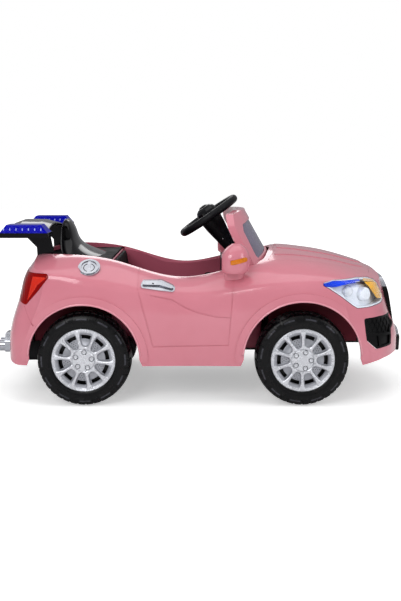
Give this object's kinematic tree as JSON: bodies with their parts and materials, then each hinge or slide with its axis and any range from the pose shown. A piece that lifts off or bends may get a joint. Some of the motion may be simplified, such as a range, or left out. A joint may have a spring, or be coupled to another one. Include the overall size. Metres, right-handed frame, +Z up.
{
  "type": "electric ride on car",
  "caption": "Child's electric ride-on roadster with open cockpit, turning wheels, coupled steering, pedal, gear train and a rear wing with a light bar.",
  "frame": {"origin": "on the ground in the car's middle plane, 305 mm ahead of the rear axle and 243 mm behind the front axle", "axes": "+X forward, +Y to the car's left, +Z up"},
  "size_m": [1.0778, 0.5686, 0.5204],
  "materials": {
    "pink_gloss": "glossy moulded pink",
    "black_gloss": "glossy black",
    "black_satin": "fine textured black",
    "tyre_black": "moulded black",
    "silver": "silver plated plastic",
    "reflector": "plated plastic",
    "smoke_pane": "tinted clear plastic",
    "clear_lens": "clear moulded lens",
    "lamp_white": "frosted",
    "amber": "amber lens",
    "blue": "blue lens",
    "red": "red lens",
    "mirror_face": "mirror foil",
    "steel": "drawn steel",
    "gear_white": "nylon",
    "battery_grey": "moulded case"
  },
  "bodies": {
    "chassis": {"battery": "battery_grey", "beacon_lenses": "blue", "body_shell": "pink_gloss", "bonnet": "pink_gloss", "bumper_vents": "black_gloss", "chin_spoiler": "black_gloss", "chin_strip": "silver", "cockpit_tub": "pink_gloss", "control_box": "black_satin", "dashboard": "black_satin", "door_handles": "silver", "exhaust_tips": "silver", "filler_cap": "silver", "floor_pan": "black_satin", "front_axle_beam": "black_satin", "gearbox_case": "black_satin", "grille": "black_gloss", "grille_surround": "silver", "headlamp_ambers": "amber", "headlamp_blues": "blue", "headlamp_housings": "reflector", "headlamp_lamps": "lamp_white", "headlamp_lenses": "clear_lens", "headrest": "black_gloss", "inner_arches": "pink_gloss", "mirror_glasses": "mirror_face", "mirror_indicators": "amber", "mirror_pods": "pink_gloss", "motor": "steel", "pedal_bracket": "steel", "rear_axle": "steel", "rear_deck": "black_gloss", "rear_diffuser": "black_gloss", "seat": "black_satin", "tail_lamps": "red", "windscreen_frame": "pink_gloss", "windscreen_pane": "smoke_pane", "wing": "black_gloss"},
    "steering": {"steering_wheel": "black_satin", "steering_pad": "black_gloss", "steering_shaft": "steel"},
    "horn": {"horn_button": "black_gloss"},
    "knuckle_left_body": {"knuckle_left": "black_satin"},
    "knuckle_right_body": {"knuckle_right": "black_satin"},
    "tie_rod_body": {"tie_rod": "black_satin"},
    "front_wheel_left": {"tyre_front_left": "tyre_black", "rim_front_left": "silver"},
    "front_wheel_right": {"tyre_front_right": "tyre_black", "rim_front_right": "silver"},
    "rear_wheel_left": {"tyre_rear_left": "tyre_black", "rim_rear_left": "silver"},
    "rear_wheel_right": {"tyre_rear_right": "tyre_black", "rim_rear_right": "silver", "output_gear": "gear_white"},
    "reduction": {"reduction_gear": "gear_white"},
    "motor_rotor": {"motor_pinion": "steel"},
    "pedal_body": {"pedal": "black_satin"},
    "lever": {"gear_lever": "black_gloss"},
    "rocker": {"power_switch": "black_gloss"},
    "sound_key": {"sound_button": "black_gloss"}
  },
  "joints": [
    {"name": "steering_turn", "type": "hinge", "parent": "chassis", "child": "steering", "pos_m": [0.01, 0, 0.4635], "axis": [-0.5664, 0, 0.8241], "range_deg": [-50, 50]},
    {"name": "horn_press", "type": "slide", "parent": "steering", "child": "horn", "axis": [0.5664, 0, -0.8241], "range_m": [0, 0.0025], "stiffness_N_per_m": 500},
    {"name": "knuckle_left_turn", "type": "hinge", "parent": "chassis", "child": "knuckle_left_body", "pos_m": [0.243, 0.172, 0.1185], "axis": [0, 0, 1], "range_deg": [-18.5, 18.5]},
    {"name": "knuckle_right_turn", "type": "hinge", "parent": "chassis", "child": "knuckle_right_body", "pos_m": [0.243, -0.172, 0.1185], "axis": [0, 0, 1], "range_deg": [-18.5, 18.5]},
    {"name": "tie_rod_slide", "type": "slide", "parent": "chassis", "child": "tie_rod_body", "axis": [0, -1, 0], "range_m": [-0.021, 0.021]},
    {"name": "front_wheel_left_spin", "type": "hinge", "parent": "knuckle_left_body", "child": "front_wheel_left", "pos_m": [0.243, 0.23, 0.1185], "axis": [0, 1, 0], "continuous": true},
    {"name": "front_wheel_right_spin", "type": "hinge", "parent": "knuckle_right_body", "child": "front_wheel_right", "pos_m": [0.243, -0.23, 0.1185], "axis": [0, 1, 0], "continuous": true},
    {"name": "rear_wheel_left_spin", "type": "hinge", "parent": "chassis", "child": "rear_wheel_left", "pos_m": [-0.305, 0.23, 0.1185], "axis": [0, 1, 0], "continuous": true},
    {"name": "rear_wheel_right_spin", "type": "hinge", "parent": "chassis", "child": "rear_wheel_right", "pos_m": [-0.305, -0.23, 0.1185], "axis": [0, 1, 0], "continuous": true},
    {"name": "reduction_spin", "type": "hinge", "parent": "chassis", "child": "reduction", "pos_m": [-0.24921, -0.174, 0.12338], "axis": [0, 1, 0], "continuous": true},
    {"name": "motor_spin", "type": "hinge", "parent": "chassis", "child": "motor_rotor", "pos_m": [-0.21186, -0.174, 0.12665], "axis": [0, 1, 0], "continuous": true},
    {"name": "pedal_press", "type": "hinge", "parent": "chassis", "child": "pedal_body", "pos_m": [0.072, -0.07, 0.1345], "axis": [0, 1, 0], "range_deg": [0, 12], "stiffness_Nm_per_rad": 3},
    {"name": "lever_shift", "type": "hinge", "parent": "chassis", "child": "lever", "pos_m": [0.01, 0.16, 0.1685], "axis": [0, 1, 0], "range_deg": [-9, 9]},
    {"name": "power_rock", "type": "hinge", "parent": "chassis", "child": "rocker", "pos_m": [0.051, -0.09, 0.3085], "axis": [0, 1, 0], "range_deg": [-8, 8]},
    {"name": "sound_press", "type": "slide", "parent": "chassis", "child": "sound_key", "axis": [1, 0, 0], "range_m": [0, 0.0025], "stiffness_N_per_m": 400}
  ],
  "couplings": [
    {"joint": "knuckle_left_turn", "follows": "steering_turn", "ratio": 0.36},
    {"joint": "knuckle_right_turn", "follows": "steering_turn", "ratio": 0.36},
    {"joint": "tie_rod_slide", "follows": "steering_turn", "m_per_rad": 0.0234},
    {"joint": "reduction_spin", "follows": "rear_wheel_right_spin", "ratio": -3.6667},
    {"joint": "motor_spin", "follows": "rear_wheel_right_spin", "ratio": 14.667}
  ]
}
